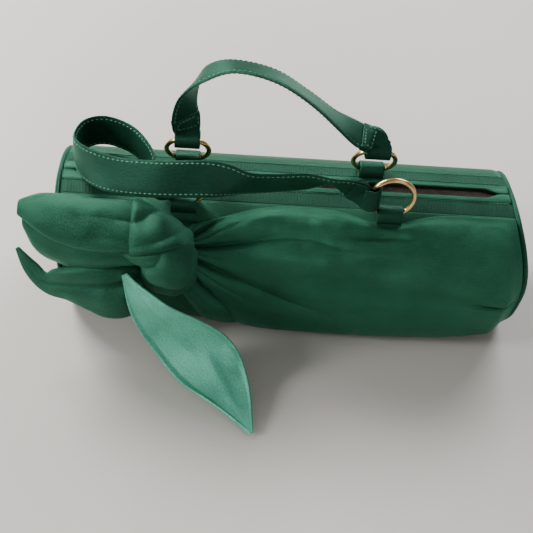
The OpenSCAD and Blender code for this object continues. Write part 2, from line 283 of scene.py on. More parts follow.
def run_along(points):
    """Length along a path of points, from 0 at the first."""
    return np.concatenate([[0], np.cumsum(np.linalg.norm(np.diff(points, axis=0), axis=1))])


def flat_place(x, s):
    """Points for ripple() on the unrolled cloth."""
    return np.stack([x, s, 0 * x], -1)


def link_mesh(name, verts, faces, material, body, uvs=None, smooth=True):
    """A mesh object from points in mm, riding on a body."""
    mesh = bpy.data.meshes.new(name)
    mesh.from_pydata((np.asarray(verts) * MM).tolist(), [], faces)
    mesh.update()
    if uvs is not None:
        layer = mesh.uv_layers.new(name="cloth")
        order = np.empty(len(mesh.loops), dtype=np.int32)
        mesh.loops.foreach_get("vertex_index", order)
        layer.data.foreach_set("uv", np.asarray(uvs)[order].ravel())
    mesh.polygons.foreach_set("use_smooth", [smooth] * len(mesh.polygons))
    piece = bpy.data.objects.new(name, mesh)
    bpy.context.collection.objects.link(piece)
    mesh.materials.append(MATERIALS[material])
    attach(piece, body)
    return piece


def grid_faces(rows, columns, close_rows=False, close_columns=False):
    """Four-sided faces between the points of a grid, joined round where it closes."""
    faces = []
    for i in range(rows if close_rows else rows - 1):
        for j in range(columns if close_columns else columns - 1):
            a, b = i * columns + j, i * columns + (j + 1) % columns
            c, d = ((i + 1) % rows) * columns + (j + 1) % columns, ((i + 1) % rows) * columns + j
            faces.append((a, b, c, d))
    return faces


def grid_uv(grid):
    """Cloth coordinates in centimetres along the rows and the columns."""
    rows, columns = grid.shape[:2]
    along = np.linalg.norm(np.diff(grid, axis=0), axis=2).mean()
    across = np.linalg.norm(np.diff(grid, axis=1), axis=2).mean()
    i, j = np.meshgrid(np.arange(rows), np.arange(columns), indexing="ij")
    return np.stack([i * along, j * across], axis=-1).reshape(-1, 2) * 0.1


def add_sheet(
    name, grid, thickness, material, body, offset=0.0, levels=1, close_rows=False, close_columns=False
):
    """A sheet of cloth from a grid of points in mm, with thickness and softened edges."""
    faces = grid_faces(*grid.shape[:2], close_rows, close_columns)
    piece = link_mesh(name, grid.reshape(-1, 3), faces, material, body, grid_uv(grid))
    if thickness:
        solid = piece.modifiers.new("thickness", "SOLIDIFY")
        solid.thickness = thickness * MM
        solid.offset = offset
        solid.use_even_offset = False
    if levels:
        soft = piece.modifiers.new("soft", "SUBSURF")
        soft.levels = soft.render_levels = levels
    return piece


def declare_cloth(grid, spare=1.0):
    """Works out a sheet's cut, its size along the grid with spare length for its gathers, and its area;
    nothing is kept or returned.
    """
    along = np.linalg.norm(np.diff(grid, axis=0), axis=2).sum(0).max() * spare
    across = np.linalg.norm(np.diff(grid, axis=1), axis=2).sum(1).max()
    edge_a = grid[1:, :-1] - grid[:-1, :-1]
    edge_b = grid[:-1, 1:] - grid[:-1, :-1]
    area = np.linalg.norm(np.cross(edge_a, edge_b), axis=2).sum() * spare
    area = min(max(area, 0.31 * along * across), along * across)


def spline(a, b, c, d, t):
    """A smooth curve from b to c at share t, with a and d beside them."""
    return 0.5 * (
        2 * b + (c - a) * t + (2 * a - 5 * b + 4 * c - d) * t * t + (3 * b - a - 3 * c + d) * t**3
    )


def smooth_path(stations, steps):
    """A smooth run of rows through the stations, in steps between each two."""
    s = np.array(stations, float)
    last = len(s) - 1
    out = [
        spline(s[max(i - 1, 0)], s[i], s[i + 1], s[min(i + 2, last)], k / steps)
        for i in range(last)
        for k in range(steps)
    ]
    return np.array(out + [s[-1]])


class Ribbon:
    """The path, sides, normals and widths of a strip of cloth from its stations."""

    def __init__(self, stations, steps):
        path = smooth_path(stations, steps)
        self.place = path[:, :3]
        self.width = path[:, 6]
        self.ahead = unit(np.gradient(self.place, axis=0))
        side = path[:, 3:6]
        self.side = unit(side - (side * self.ahead).sum(1, keepdims=True) * self.ahead)
        self.normal = np.cross(self.ahead, self.side)
        self.length = run_along(self.place)

    def point(self, index, across, out):
        """A point at a share of the half width across, and out mm along the normal."""
        i = np.clip(np.asarray(index, float), 0, len(self.place) - 1)
        known = np.arange(len(self.place))
        half = np.interp(i, known, self.width)[..., None] / 2
        share = np.asarray(across, float)[..., None]
        side = read_rows(i, known, self.side) * half * share
        return read_rows(i, known, self.place) + side + read_rows(i, known, self.normal) * out

    def index_at(self, lengths, start=True):
        """Indices on the path at lengths in mm from its start, or else from its end."""
        known = np.arange(len(self.length))
        if start:
            return np.interp(lengths, self.length, known)
        return np.interp(lengths, (self.length[-1] - self.length)[::-1], known[::-1])


def add_stitches(name, lines, body, pitch=3.3, dash=2.1, thick=0.42, material="thread"):
    """Rows of thread: each line is (points, outward normals), and each stitch a small spindle on it."""
    rings, sides = 5, 6
    turn = np.linspace(0, 2 * np.pi, sides, endpoint=False)
    verts, faces = [], []
    for points, normals in lines:
        points = np.asarray(points, float)
        normals = unit(np.asarray(normals, float))
        run = run_along(points)
        for start in np.arange(pitch * 0.3, run[-1] - dash, pitch):
            at = np.linspace(start, start + dash, rings)
            middle = read_rows(at, run, points)
            out = read_rows(start + dash / 2, run, normals)
            ahead = unit(middle[-1] - middle[0])
            across = unit(np.cross(ahead, out))
            base = len(verts) * rings * sides
            share = np.sin(np.linspace(0.12, 1, rings) * np.pi * 0.94)
            lift = np.sin(np.linspace(0, 1, rings) * np.pi) * thick * 0.5 - thick * 0.2
            ring = (
                middle[:, None]
                + (np.cos(turn)[None, :, None] * across + np.sin(turn)[None, :, None] * out * 0.8)
                * (share * thick)[:, None, None]
                + (lift[:, None] * out)[:, None]
            )
            verts.append(ring.reshape(-1, 3))
            faces += [tuple(base + k for k in face) for face in grid_faces(rings, sides, close_columns=True)]
            faces += [tuple(base + k for k in range(sides))[::-1]]
            faces += [tuple(base + (rings - 1) * sides + k for k in range(sides))]
    verts = np.concatenate(verts)
    link_mesh(name, verts, faces, material, body, verts[:, :2] * 0.1)


def add_tube(name, path, radius, material, body, sides=14, closed=False):
    """A round tube along a path in mm."""
    path = np.asarray(path, float)
    if closed:
        ahead = unit(np.roll(path, -1, axis=0) - np.roll(path, 1, axis=0))
    else:
        ahead = unit(np.gradient(path, axis=0))
    up = np.array([1.0, 0.0, 0.0]) if abs(ahead[0][0]) < 0.9 else np.array([0.0, 0.0, 1.0])
    side = unit(np.cross(ahead, up))
    out = np.cross(side, ahead)
    turn = np.linspace(0, 2 * np.pi, sides, endpoint=False)
    radius = np.broadcast_to(np.asarray(radius, float), len(path))
    grid = path[:, None] + radius[:, None, None] * (
        np.cos(turn)[None, :, None] * side[:, None] + np.sin(turn)[None, :, None] * out[:, None]
    )
    rows = len(path)
    faces = grid_faces(rows, sides, close_rows=closed, close_columns=True)
    if not closed:
        faces += [tuple(range(sides))[::-1], tuple((rows - 1) * sides + k for k in range(sides))]
    return link_mesh(name, grid.reshape(-1, 3), faces, material, body, grid_uv(grid))


# ---------------------------------------------------------------- the barrel's form

PANEL_BOX = np.array(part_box("front_panel")) / MM
BODY_H = 100.0
TOP_R, BASE_R = 50.0, 30.0
TOP_Y, BASE_Y = 4.0, 24.0
TOP_Z = BODY_H - TOP_R
HALF_DEPTH = TOP_Y + TOP_R
PANEL_X = PANEL_BOX[1][0]
ZIP_Y = -6.0
WELT_NEAR, WELT_FAR, STRIP_FAR = 4.7, 8.7, 19.5
PIPING_R = 2.1
LOWEST = 1.5

# Thickness of each cloth
WALL_T, BASE_T, LINING_T, STRIP_T, WELT_T, END_T = 1.4, 1.2, 0.7, 0.9, 0.8, 1.2
TAPE_T, FOLD_T, DRAPE_T, TAIL_T = 0.5, 1.1, 1.2, 1.8

# Lengths round the section from the middle of the top: flat, arc, side, arc, half base
RUNS = np.cumsum([0, TOP_Y, TOP_R * math.pi / 2, TOP_Z - BASE_R, BASE_R * math.pi / 2, BASE_Y])
HALF_ROUND = RUNS[-1]


def section(s, out=0.0):
    """Point (y, z) and outward normal at a run s round the barrel, positive to the front."""
    s = np.asarray(s, float)
    front = np.where(s < 0, 1.0, -1.0)
    a = np.abs(s)
    top_turn = (a - RUNS[1]) / TOP_R
    base_turn = (a - RUNS[3]) / BASE_R
    zones = [a < RUNS[1], a < RUNS[2], a < RUNS[3], a < RUNS[4]]
    y = np.select(
        zones,
        [a, TOP_Y + TOP_R * np.sin(top_turn), HALF_DEPTH + 0 * a, BASE_Y + BASE_R * np.cos(base_turn)],
        BASE_Y - (a - RUNS[4]),
    )
    z = np.select(
        zones,
        [BODY_H + 0 * a, TOP_Z + TOP_R * np.cos(top_turn), TOP_Z - (a - RUNS[2]),
         BASE_R - BASE_R * np.sin(base_turn)],
        0.0,
    )
    ny = np.select(zones, [0 * a, np.sin(top_turn), 1 + 0 * a, np.cos(base_turn)], 0.0)
    nz = np.select(zones, [1 + 0 * a, np.cos(top_turn), 0 * a, -np.sin(base_turn)], -1.0)
    out = np.asarray(out, float)
    return front * (y + ny * out), z + nz * out, front * ny, nz


def run_at_y(y):
    """The run round the section where the top arc reaches y."""
    reach = abs(y)
    run = reach if reach < TOP_Y else TOP_Y + TOP_R * math.asin((reach - TOP_Y) / TOP_R)
    return -math.copysign(run, y)


def run_at_z(z):
    """The run down the front where the section has height z, above the base arc's start."""
    if z >= TOP_Z:
        return TOP_Y + TOP_R * math.acos((z - TOP_Z) / TOP_R)
    if z >= BASE_R:
        return RUNS[2] + TOP_Z - z
    return RUNS[3] + BASE_R * math.asin((BASE_R - z) / BASE_R)


# How far the soft barrel departs from the plain section, in mm
END_DRAW, END_DRAW_FRONT_RIGHT = 5.0, 6.5
SWELL, SEAM_SINK, BACK_SHARE = 2.2, 0.9, 0.25
RIGHT_LEAN, RIGHT_LEAN_FRONT, RIGHT_SET_BACK, LEFT_LEAN = 10, 7, 2, 5


def end_tuck(x, s):
    """The round ends are drawn in towards the base, the right one more at its front."""
    near_end = smooth_step(np.abs(x), 95, PANEL_X)
    low = hump(np.abs(s), RUNS[3] + 18, 27)
    return -near_end * low * np.where((x > 0) & (s > 0), END_DRAW_FRONT_RIGHT, END_DRAW)


def settle(x, s):
    """How far the soft wall stands off the plain section, in mm."""
    middle = 1 - (x / PANEL_X) ** 2
    side = smooth_step(np.abs(s), 30, 75) * (1 - smooth_step(np.abs(s), 135, 150))
    place = flat_place(x, s)
    swell = side * (SWELL * middle + 1.8 * ripple(place, 70, 3) + 0.9 * ripple(place, 26, 4))
    near_seam = smooth_step(PANEL_X - np.abs(x), 0, 3.5)
    swell = swell * np.where(s > 0, 1.0, BACK_SHARE)
    return swell * near_seam - SEAM_SINK * (1 - near_seam) + end_tuck(x, s)


def lean_out(x, y, z):
    """The soft ends lean: the right end out at its front and base, the left end out at its top."""
    right = smooth_step(x, 40, PANEL_X)
    left = smooth_step(-x, 90, PANEL_X)
    front = smooth_step(-y, -20, 54)
    height = z / BODY_H
    right_lean = RIGHT_LEAN * (1 - height) + RIGHT_LEAN_FRONT * front * hump(z, 62, 40) - RIGHT_SET_BACK
    return right * right_lean - left * height**2 * LEFT_LEAN


def barrel_points(x, s, out):
    """Points at x and run s, out mm off the plain section, on the leaning barrel."""
    y, z, _, _ = section(s, out)
    z = np.maximum(z, LOWEST)
    return np.stack([x + lean_out(x, y, z), y, z], -1)


def barrel_grid(x_values, s_values, lift=0.0):
    """A grid of points on the settled wall; lift is mm, or a function of x and s."""
    x, s = np.meshgrid(x_values, s_values, indexing="ij")
    extra = lift(x, s) if callable(lift) else lift
    return barrel_points(x, s, settle(x, s) + extra)


def seam_line(s, lift):
    """A row of points along the barrel at run s, and their outward normals."""
    x = np.linspace(-PANEL_X + 2, PANEL_X - 2, 200)
    runs = np.full(len(x), float(s))
    _, _, ny, nz = section(runs)
    return barrel_points(x, runs, settle(x, runs) + lift), np.stack([0 * x, ny, nz], -1)


STRIP_FRONT = (run_at_y(ZIP_Y - WELT_FAR), run_at_y(ZIP_Y - STRIP_FAR))
STRIP_BACK = (run_at_y(ZIP_Y + WELT_FAR), run_at_y(ZIP_Y + STRIP_FAR))
WELT_FRONT = (run_at_y(ZIP_Y - WELT_NEAR), run_at_y(ZIP_Y - WELT_FAR - 0.3))
WELT_BACK = (run_at_y(ZIP_Y + WELT_NEAR), run_at_y(ZIP_Y + WELT_FAR + 0.3))


def make_shell():
    """The front and back walls, the flat base and the inner bag."""
    xs = np.linspace(-PANEL_X, PANEL_X, 147)
    for name, cad, near, far, offset in (
        ("front_wall", "front_panel", STRIP_FRONT[1] - 0.5, RUNS[4], 1.0),
        ("back_wall", "back_panel", STRIP_BACK[1] + 0.5, -RUNS[4], -1.0),
    ):
        wall = barrel_grid(xs, np.linspace(near, far, 60))
        piece = add_sheet(name, wall, WALL_T, "body_satin", "bag", offset)
        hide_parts(cad)
        declare_cloth(wall)
    across = np.linspace(-BASE_Y, BASE_Y, 17)
    x, y = np.meshgrid(np.linspace(-PANEL_X, PANEL_X, 60), across, indexing="ij")
    base = np.stack([x, y, BASE_T + 0.25 * ripple(flat_place(x, y), 40, 8)], -1)
    piece = add_sheet("base_wall", base, BASE_T, "body_satin", "bag")
    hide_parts("base_panel")
    declare_cloth(base)
    inner = np.linspace(-HALF_ROUND, HALF_ROUND, 120)
    inner_x = np.linspace(-142, 142, 40)
    bag = barrel_grid(inner_x, inner, -7.0)
    piece = add_sheet("inner_bag", bag, LINING_T, "lining", "bag", levels=0)
    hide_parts("lining")
    declare_cloth(bag)


def make_strips():
    """Gathered strips: many small uneven pleats across the strip."""
    xs = np.linspace(-PANEL_X, PANEL_X, 780)

    def pleats(x, s):
        place = flat_place(x, s * 0.1)
        phase = x * 3.2 + 4.0 * ripple(place, 7, 12)
        return 0.1 * np.sin(phase) * (0.7 + 0.4 * ripple(place, 11, 13)) + 0.5

    for name, (near, far), cad in (
        ("ruched_front", STRIP_FRONT, "top_strip_front"),
        ("ruched_back", STRIP_BACK, "top_strip_back"),
    ):
        grid = barrel_grid(xs, np.linspace(near, far, 12), pleats)
        # The strips' satin carries painted shade: it is darker than the body satin
        piece = add_sheet(name, grid, STRIP_T, "ruched_satin", "bag", levels=0)
        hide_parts(cad)
        declare_cloth(grid, 1.25)


def make_welts():
    """A rolled satin edge on each side of the zip, and its row of stitching."""
    x = np.linspace(-PANEL_X, PANEL_X, 200)
    turn = np.linspace(0, 1, 15)
    share = 0.5 - 0.5 * np.cos(turn * np.pi)
    rise = 1.1 * np.sin(turn * np.pi) ** 0.6
    closing = smooth_step(np.abs(x), PANEL_X - 18, PANEL_X - 5)
    for name, (inner, outer), cad in (
        ("welt_front", WELT_FRONT, "zip_welt_front"),
        ("welt_back", WELT_BACK, "zip_welt_back"),
    ):
        start = inner + (run_at_y(ZIP_Y) - inner) * 0.94 * closing
        run = start[:, None] + (outer - start)[:, None] * share[None]
        grid_x = x[:, None] + 0 * run
        wave = 0.25 * ripple(flat_place(grid_x, run), 18, 21)
        grid = barrel_points(grid_x, run, rise[None, :] + wave)
        piece = add_sheet(name, grid, WELT_T, "body_satin", "bag")
        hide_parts(cad)
    rows = [seam_line(STRIP_FRONT[0] + 0.9, 1.1), seam_line(STRIP_BACK[0] - 0.9, 1.1)]
    add_stitches("zip_stitching", rows, "bag", 2.6, 1.8, 0.28, "piping_satin")


def make_ends():
    """Piping round each end, and the end panel inside it with soft creases towards the seam."""
    round_s = np.linspace(-HALF_ROUND, HALF_ROUND, 161)[:-1]
    share = np.linspace(0.001, 1, 26)
    middle_z = BODY_H / 2
    for side, name in ((-1, "left"), (1, "right")):
        rim = np.full_like(round_s, side * PANEL_X)
        tuck = end_tuck(rim, round_s)
        path = barrel_points(rim, round_s, tuck - 1.2)
        path[:, 0] += side * 1.9
        path[:, 2] = np.maximum(path[:, 2], PIPING_R)
        piece = add_tube(
            f"piping_{name}_cord", path, PIPING_R, "piping_satin", "bag", closed=True
        )
        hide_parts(f"piping_{name}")
        rim_y, rim_z, _, _ = section(round_s, tuck - 2.6)
        y = rim_y[:, None] * share
        z = middle_z + (rim_z - middle_z)[:, None] * share
        place = np.stack([0 * y + side * 90, y, z], -1)
        crown = 1 - share**2
        dome = 1.6 * crown + share**3 * 0.8 * ripple(place, 16, 31) + 0.8 * ripple(place, 45, 32)
        dome = dome * smooth_step(1 - share, 0, 0.06) + 4.0 * crown
        x = side * (PANEL_X + 0.9 + dome) + lean_out(side * PANEL_X + 0 * y, y, z)
        disc = np.stack([x, y, z], -1)
        piece = add_sheet(f"end_{name}", disc, END_T, "body_satin", "bag", close_rows=True)
        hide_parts(f"end_panel_{name}")


# ---------------------------------------------------------------- zip

TAPE_TOP = np.array(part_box("zip_tape_front"))[1][2] / MM
TEETH_BOX = np.array(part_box("zip_teeth_front")) / MM
TOOTH_PITCH = 1.5


def make_zip():
    """The tapes and teeth on both sides, and finishes for the stops, the slider and its pull."""
    for side, name in ((-1, "front"), (1, "back")):
        across = np.linspace(0.15, 9.0, 8) * side + ZIP_Y
        x, y = np.meshgrid(np.linspace(-PANEL_X, PANEL_X, 120), across, indexing="ij")
        tape = np.stack([x, y, 0 * x + TAPE_TOP - 0.3], -1)
        piece = add_sheet(f"tape_{name}", tape, TAPE_T, "zip_tape", "bag", levels=0)
        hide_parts(f"zip_tape_{name}")
        make_teeth(name, side)
    for name in ("left", "right"):
        finish_node(f"zip_stop_{name}", "zip_bronze")
    for name in ("zip_slider", "zip_pull"):
        finish_node(name, "zip_slider_metal")


def make_teeth(name, side):
    """Interlocking cast teeth: a rounded head past the middle line and a shoulder on the tape."""
    outline = [(-1.0, 0.75), (0.15, 0.75), (0.4, 0.5), (0.75, 0.62), (1.0, 0.3),
               (1.0, -0.3), (0.75, -0.62), (0.4, -0.5), (0.15, -0.75), (-1.0, -0.75)]
    reach, low, high = 2.4, TAPE_TOP, TAPE_TOP + 1.9
    verts, faces = [], []
    count = len(outline)
    zip_end = TEETH_BOX[1][0]
    start = -zip_end + (TOOTH_PITCH / 2 if side > 0 else 0)
    for k in range(int(2 * zip_end / TOOTH_PITCH)):
        x0 = start + (k + 0.25) * TOOTH_PITCH
        base = len(verts)
        for level, shrink in ((low, 1.0), (high - 0.4, 1.0), (high, 0.72)):
            for a, b in outline:
                y = ZIP_Y + side * (1.5 - a * reach * 0.5 * (1 if a < 0 else shrink) * 1.7)
                verts.append((x0 + b * TOOTH_PITCH * 0.4 * shrink, y, level))
        for ring in range(2):
            for i in range(count):
                j = (i + 1) % count
                a, b = base + ring * count + i, base + ring * count + j
                faces.append((a, b, b + count, a + count) if side < 0 else (b, a, a + count, b + count))
        top = [base + 2 * count + i for i in range(count)]
        faces.append(tuple(top if side < 0 else top[::-1]))
        bottom = [base + i for i in range(count)]
        faces.append(tuple(bottom[::-1] if side < 0 else bottom))
    verts = np.array(verts)
    uvs = verts[:, :2] * 0.1
    piece = link_mesh(f"teeth_{name}", verts, faces, "zip_bronze", "bag", uvs, smooth=False)
    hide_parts(f"zip_teeth_{name}")


def finish_node(node, material):
    """A CAD node whose shape is right gets its material."""
    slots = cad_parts[node].data.materials
    slots.clear()
    slots.append(MATERIALS[material])


# ---------------------------------------------------------------- handles

RING_BOX = np.array(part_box("ring_front_right")) / MM
WIRE_R = (RING_BOX[1][1] - RING_BOX[0][1]) / 2
RING_R = (RING_BOX[1][0] - RING_BOX[0][0]) / 2 - WIRE_R
FRONT_Y = (RING_BOX[1][1] + RING_BOX[0][1]) / 2
FRONT_Z = RING_BOX[0][2] + WIRE_R
GRIP_Z = FRONT_Z + RING_R


def middle_x(node):
    """The middle of a CAD node along X, in mm."""
    low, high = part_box(node)
    return (low[0] + high[0]) / 2 / MM


LEFT_X = middle_x("ring_front_left")
FRONT_RIGHT_X = middle_x("ring_front_right")
BACK_RIGHT_X = middle_x("ring_back_right")
BACK_Y, BACK_Z, BACK_LEAN = 9.0, 103.5, math.radians(26)
HANDLE_Y = BACK_Y - 2 * RING_R * math.sin(BACK_LEAN)
HANDLE_Z = BACK_Z + 2 * RING_R * math.cos(BACK_LEAN)
GRIP_LEFT = LEFT_X - RING_R
GRIP_RIGHT = FRONT_RIGHT_X - RING_R
STRAP_W, STRAP_T, FOLD_W = 24.0, 2.6, 17.0
FOLD_BORE = RING_R - math.sqrt((RING_R - WIRE_R) ** 2 - (FOLD_W / 2) ** 2) + 0.25

# The stations of part.scad: place, width direction, width
BACK_STATIONS = [
    (LEFT_X, HANDLE_Y, HANDLE_Z + 2.4, 1, 0, 0, FOLD_W - 2),
    (LEFT_X - 1, HANDLE_Y, HANDLE_Z + 12, 0.85, 0.5, 0, STRAP_W - 3),
    (LEFT_X - 2, HANDLE_Y, HANDLE_Z + 24, 0.65, 0.75, 0, STRAP_W - 1),
    (LEFT_X + 1, HANDLE_Y, HANDLE_Z + 37, 0.5, 0.85, 0, STRAP_W),
    (LEFT_X + 10, HANDLE_Y, HANDLE_Z + 50, 0.2, 1, 0, STRAP_W),
    (LEFT_X + 28, HANDLE_Y, HANDLE_Z + 57, 0, 1, -0.2, STRAP_W),
    (LEFT_X + 54, HANDLE_Y, HANDLE_Z + 52, 0, 1, -0.2, STRAP_W),
    (BACK_RIGHT_X - 50, HANDLE_Y, HANDLE_Z + 38, 0, 1, -0.2, STRAP_W),
    (BACK_RIGHT_X - 30, HANDLE_Y, HANDLE_Z + 22, 0.1, 1, -0.1, STRAP_W),
    (BACK_RIGHT_X - 15, HANDLE_Y, HANDLE_Z + 12, 0.6, 1, 0, STRAP_W - 1),
    (BACK_RIGHT_X - 4, HANDLE_Y, HANDLE_Z + 7.5, 1, 0.4, 0, STRAP_W - 4),
    (BACK_RIGHT_X, HANDLE_Y, HANDLE_Z + 2.4, 1, 0, 0, FOLD_W - 2),
]
FRONT_STATIONS = [
    (GRIP_RIGHT - 2.4, FRONT_Y, GRIP_Z, 0, 0, 1, FOLD_W - 2),
    (GRIP_RIGHT - 14, FRONT_Y, GRIP_Z + 6, 0, -0.35, 0.95, STRAP_W - 3),
    (GRIP_RIGHT - 27, FRONT_Y + 1, GRIP_Z + 9.5, 0, -0.7, 0.7, STRAP_W),
    (GRIP_RIGHT - 44, FRONT_Y, GRIP_Z + 9, 0, -0.45, 0.9, STRAP_W),
    (-18, FRONT_Y - 4, GRIP_Z + 9, 0, -0.38, 0.92, STRAP_W),
    (-34, FRONT_Y - 8, GRIP_Z + 11, 0, -0.3, 0.95, STRAP_W),
    (-48, FRONT_Y - 10, GRIP_Z + 14, 0, 0.2, 0.98, STRAP_W),
    (-61, FRONT_Y - 11, GRIP_Z + 15, 0, 0.55, 0.83, STRAP_W),
    (-90, FRONT_Y - 10, GRIP_Z + 12, 0, 0.68, 0.73, STRAP_W),
    (-118, FRONT_Y - 2, GRIP_Z + 7, 0, 0.6, 0.8, STRAP_W),
    (-137, FRONT_Y + 10, GRIP_Z + 5, 0, 0.35, 0.95, STRAP_W),
    (-147, FRONT_Y + 26, GRIP_Z + 4.5, 0, 0, 1, STRAP_W),
    (-143, FRONT_Y + 44, GRIP_Z + 4.5, 0, 0, 1, STRAP_W),
    (-129, FRONT_Y + 50, GRIP_Z + 4.5, 0, 0, 1, STRAP_W),
    (-110, FRONT_Y + 40, GRIP_Z + 4.5, 0, 0, 1, STRAP_W),
    (GRIP_LEFT - 9, FRONT_Y + 20, GRIP_Z + 4, 0, 0, 1, STRAP_W - 2),
    (GRIP_LEFT - 5, FRONT_Y + 6, GRIP_Z + 1.5, 0, 0, 1, STRAP_W - 5),
    (GRIP_LEFT - 2.4, FRONT_Y, GRIP_Z, 0, 0, 1, FOLD_W - 2),
]
STITCH_IN = 2.3
LAP_START, LAP_SHARE = 4.5, 0.94
LAP_GAP = STRAP_T / 2 + 0.5
ARC_GAP = 0.65


def add_strap(name, stations, body, cad):
    """A padded strap with rounded edges, and two rows of stitches sunk into each face."""
    ribbon = Ribbon(stations, 12)
    v = np.sin(np.linspace(-1, 1, 13) * np.pi / 2)
    half_thick = (1 - np.abs(v) ** 6) ** 0.5
    stitch = 1 - 2 * STITCH_IN / STRAP_W
    groove = 0.45 * (hump(v, stitch, 0.07) + hump(v, -stitch, 0.07))
    out = (STRAP_T / 2) * half_thick - groove * 0.8
    index = np.arange(len(ribbon.place))
    rows = []
    for sign, cols in ((1, slice(None)), (-1, slice(-2, 0, -1))):
        for share, lift in zip(v[cols], out[cols]):
            wave = 0.35 * ripple(ribbon.place + share * 4, 16, 41)
            rows.append(ribbon.point(index, share, 0) + ribbon.normal * (sign * lift + wave * 0.6)[:, None])
    grid = np.stack(rows, axis=1)
    piece = add_sheet(name, grid, 0, "strap_satin", body, close_columns=True)
    cap_ends(piece.data, *grid.shape[:2])
    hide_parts(cad)
    lines = []
    for sign in (1, -1):
        for edge in (1, -1):
            points = ribbon.point(index, edge * stitch, sign * (STRAP_T / 2 - 0.3))
            lines.append((points[3:-3], sign * ribbon.normal[3:-3]))
    add_stitches(f"{name}_stitching", lines, body)
    return ribbon


def cap_ends(mesh, rows, sides):
    """Closes the two ends of a tube-like mesh."""
    bm = bmesh.new()
    bm.from_mesh(mesh)
    bm.verts.ensure_lookup_table()
    bm.faces.new([bm.verts[k] for k in range(sides)][::-1])
    bm.faces.new([bm.verts[(rows - 1) * sides + k] for k in range(sides)])
    bm.to_mesh(mesh)
    bm.free()


def fold_arc(centre, up, flat, gap_half):
    """The cloth's arc round the wire's room, open towards up where its two layers meet."""
    radius = FOLD_BORE + ARC_GAP
    opening = math.asin(min(gap_half / radius, 0.95))
    turn = np.linspace(opening, 2 * math.pi - opening, 17)
    return centre + radius * (np.cos(turn)[:, None] * up + np.sin(turn)[:, None] * flat)


def add_fold(name, ribbon, start, wire, axis, body, lap=16.0):
    """The strap's end: it passes round the ring's wire and is sewn down on both faces of the strap."""
    spread = np.linspace(LAP_START, lap, 12)
    index = ribbon.index_at(spread, start)
    wire = np.asarray(wire, float)
    axis = unit(np.asarray(axis, float))
    up = unit(ribbon.point(index[:1], 0, 0)[0] - wire)
    up = unit(up - np.dot(up, axis) * axis)
    flat = np.cross(axis, up)
    lap_w = np.interp(index, np.arange(len(ribbon.width)), ribbon.width)
    sign = 1 if np.dot(ribbon.normal[int(index[0])], flat) > 0 else -1
    across = 1 if np.dot(ribbon.side[int(index[0])], axis) > 0 else -1
    columns = []
    for share in np.linspace(-1, 1, 13):
        width = np.minimum(np.linspace(FOLD_W, STRAP_W, len(spread)), lap_w)
        own = width / lap_w * share * across * LAP_SHARE
        front = ribbon.point(index, own, sign * LAP_GAP)
        back = ribbon.point(index, own, -sign * LAP_GAP)
        arc = fold_arc(wire + axis * share * FOLD_W / 2, up, flat, LAP_GAP)
        columns.append(np.concatenate([front[::-1], arc, back]))
    grid = np.stack(columns, axis=1)
    add_sheet(name, grid, FOLD_T, "strap_satin", body)


def add_fold_stitches(name, ribbon, start, body):
    """A rectangle of stitches that holds the strap's folded end."""
    near, far, inset = 8.0, 14.0, 0.7
    lines = []
    for face in (1, -1):
        out = face * (STRAP_T / 2 + 1.25)
        for along, across in (
            ((near, near), (-inset, inset)), ((far, far), (-inset, inset)),
            ((near, far), (-inset, -inset)), ((near, far), (inset, inset)),
        ):
            index = ribbon.index_at(np.linspace(*along, 9), start)
            points = np.array([ribbon.point(i, a, out) for i, a in zip(index, np.linspace(*across, 9))])
            normals = np.repeat(face * ribbon.normal[[int(index.mean())]], 9, axis=0)
            lines.append((points, normals))
    add_stitches(name, lines, body, 2.6, 1.8)


def add_tab(name, x, y, z, lean, cad, foot=14.0):
    """A doubled satin tab: up from the seam, round the ring's lowest wire and down again."""
    lean = math.radians(lean)
    down = np.array([0.0, -math.sin(lean), -math.cos(lean)])
    flat = np.array([0.0, math.cos(lean), -math.sin(lean)])
    wire = np.array([x, y, z])
    axis = np.array([1.0, 0.0, 0.0])
    reach = np.linspace(FOLD_BORE + 1.4, foot, 7)
    columns = []
    for share in np.linspace(-1, 1, 13):
        middle = wire + axis * share * FOLD_W / 2
        spread = axis * share * 2.2 * smooth_step(reach, FOLD_BORE, foot)[:, None]
        legs = middle + spread + reach[:, None] * down
        arc = fold_arc(middle, down, flat, 1.3)
        columns.append(np.concatenate([(legs + flat)[::-1], arc, legs - flat]))
    grid = np.stack(columns, axis=1)
    grid = grid + 0.3 * ripple(grid, 8, 51)[..., None] * flat
    piece = add_sheet(name, grid, FOLD_T, "strap_satin", "bag")
    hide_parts(cad)


def make_handles():
    """Both straps with their sewn ends, the four tabs, and a finish for the rings."""
    back = add_strap("strap_back", BACK_STATIONS, "back_handle", "handle_back")
    front = add_strap("strap_front", FRONT_STATIONS, "front_handle", "handle_front")
    for start, x, name in ((True, LEFT_X, "left"), (False, BACK_RIGHT_X, "right")):
        add_fold(f"fold_back_{name}", back, start, (x, HANDLE_Y, HANDLE_Z), (1, 0, 0), "back_handle")
        add_fold_stitches(f"fold_back_{name}_stitching", back, start, "back_handle")
    for start, x, name in ((True, GRIP_RIGHT, "right"), (False, GRIP_LEFT, "left")):
        add_fold(f"fold_front_{name}", front, start, (x, FRONT_Y, GRIP_Z), (0, 0, 1), "front_handle", 13.0)
    for row, name, x in (
        ("back", "left", LEFT_X), ("back", "right", BACK_RIGHT_X),
        ("front", "left", LEFT_X), ("front", "right", FRONT_RIGHT_X),
    ):
        if row == "back":
            add_tab(f"tab_loop_back_{name}", x, BACK_Y, BACK_Z, 0, f"tab_back_{name}", 7.0)
        else:
            add_tab(f"tab_loop_front_{name}", x, FRONT_Y, FRONT_Z, 30, f"tab_front_{name}")
        finish_node(f"ring_{row}_{name}", "ring_gold")


# ---------------------------------------------------------------- draped front and bow

KNOT_X = -82.0
KNOT_TOP_Z, KNOT_FOOT_Z = 84, 58
DRAPE_TOP_Y = -26.5


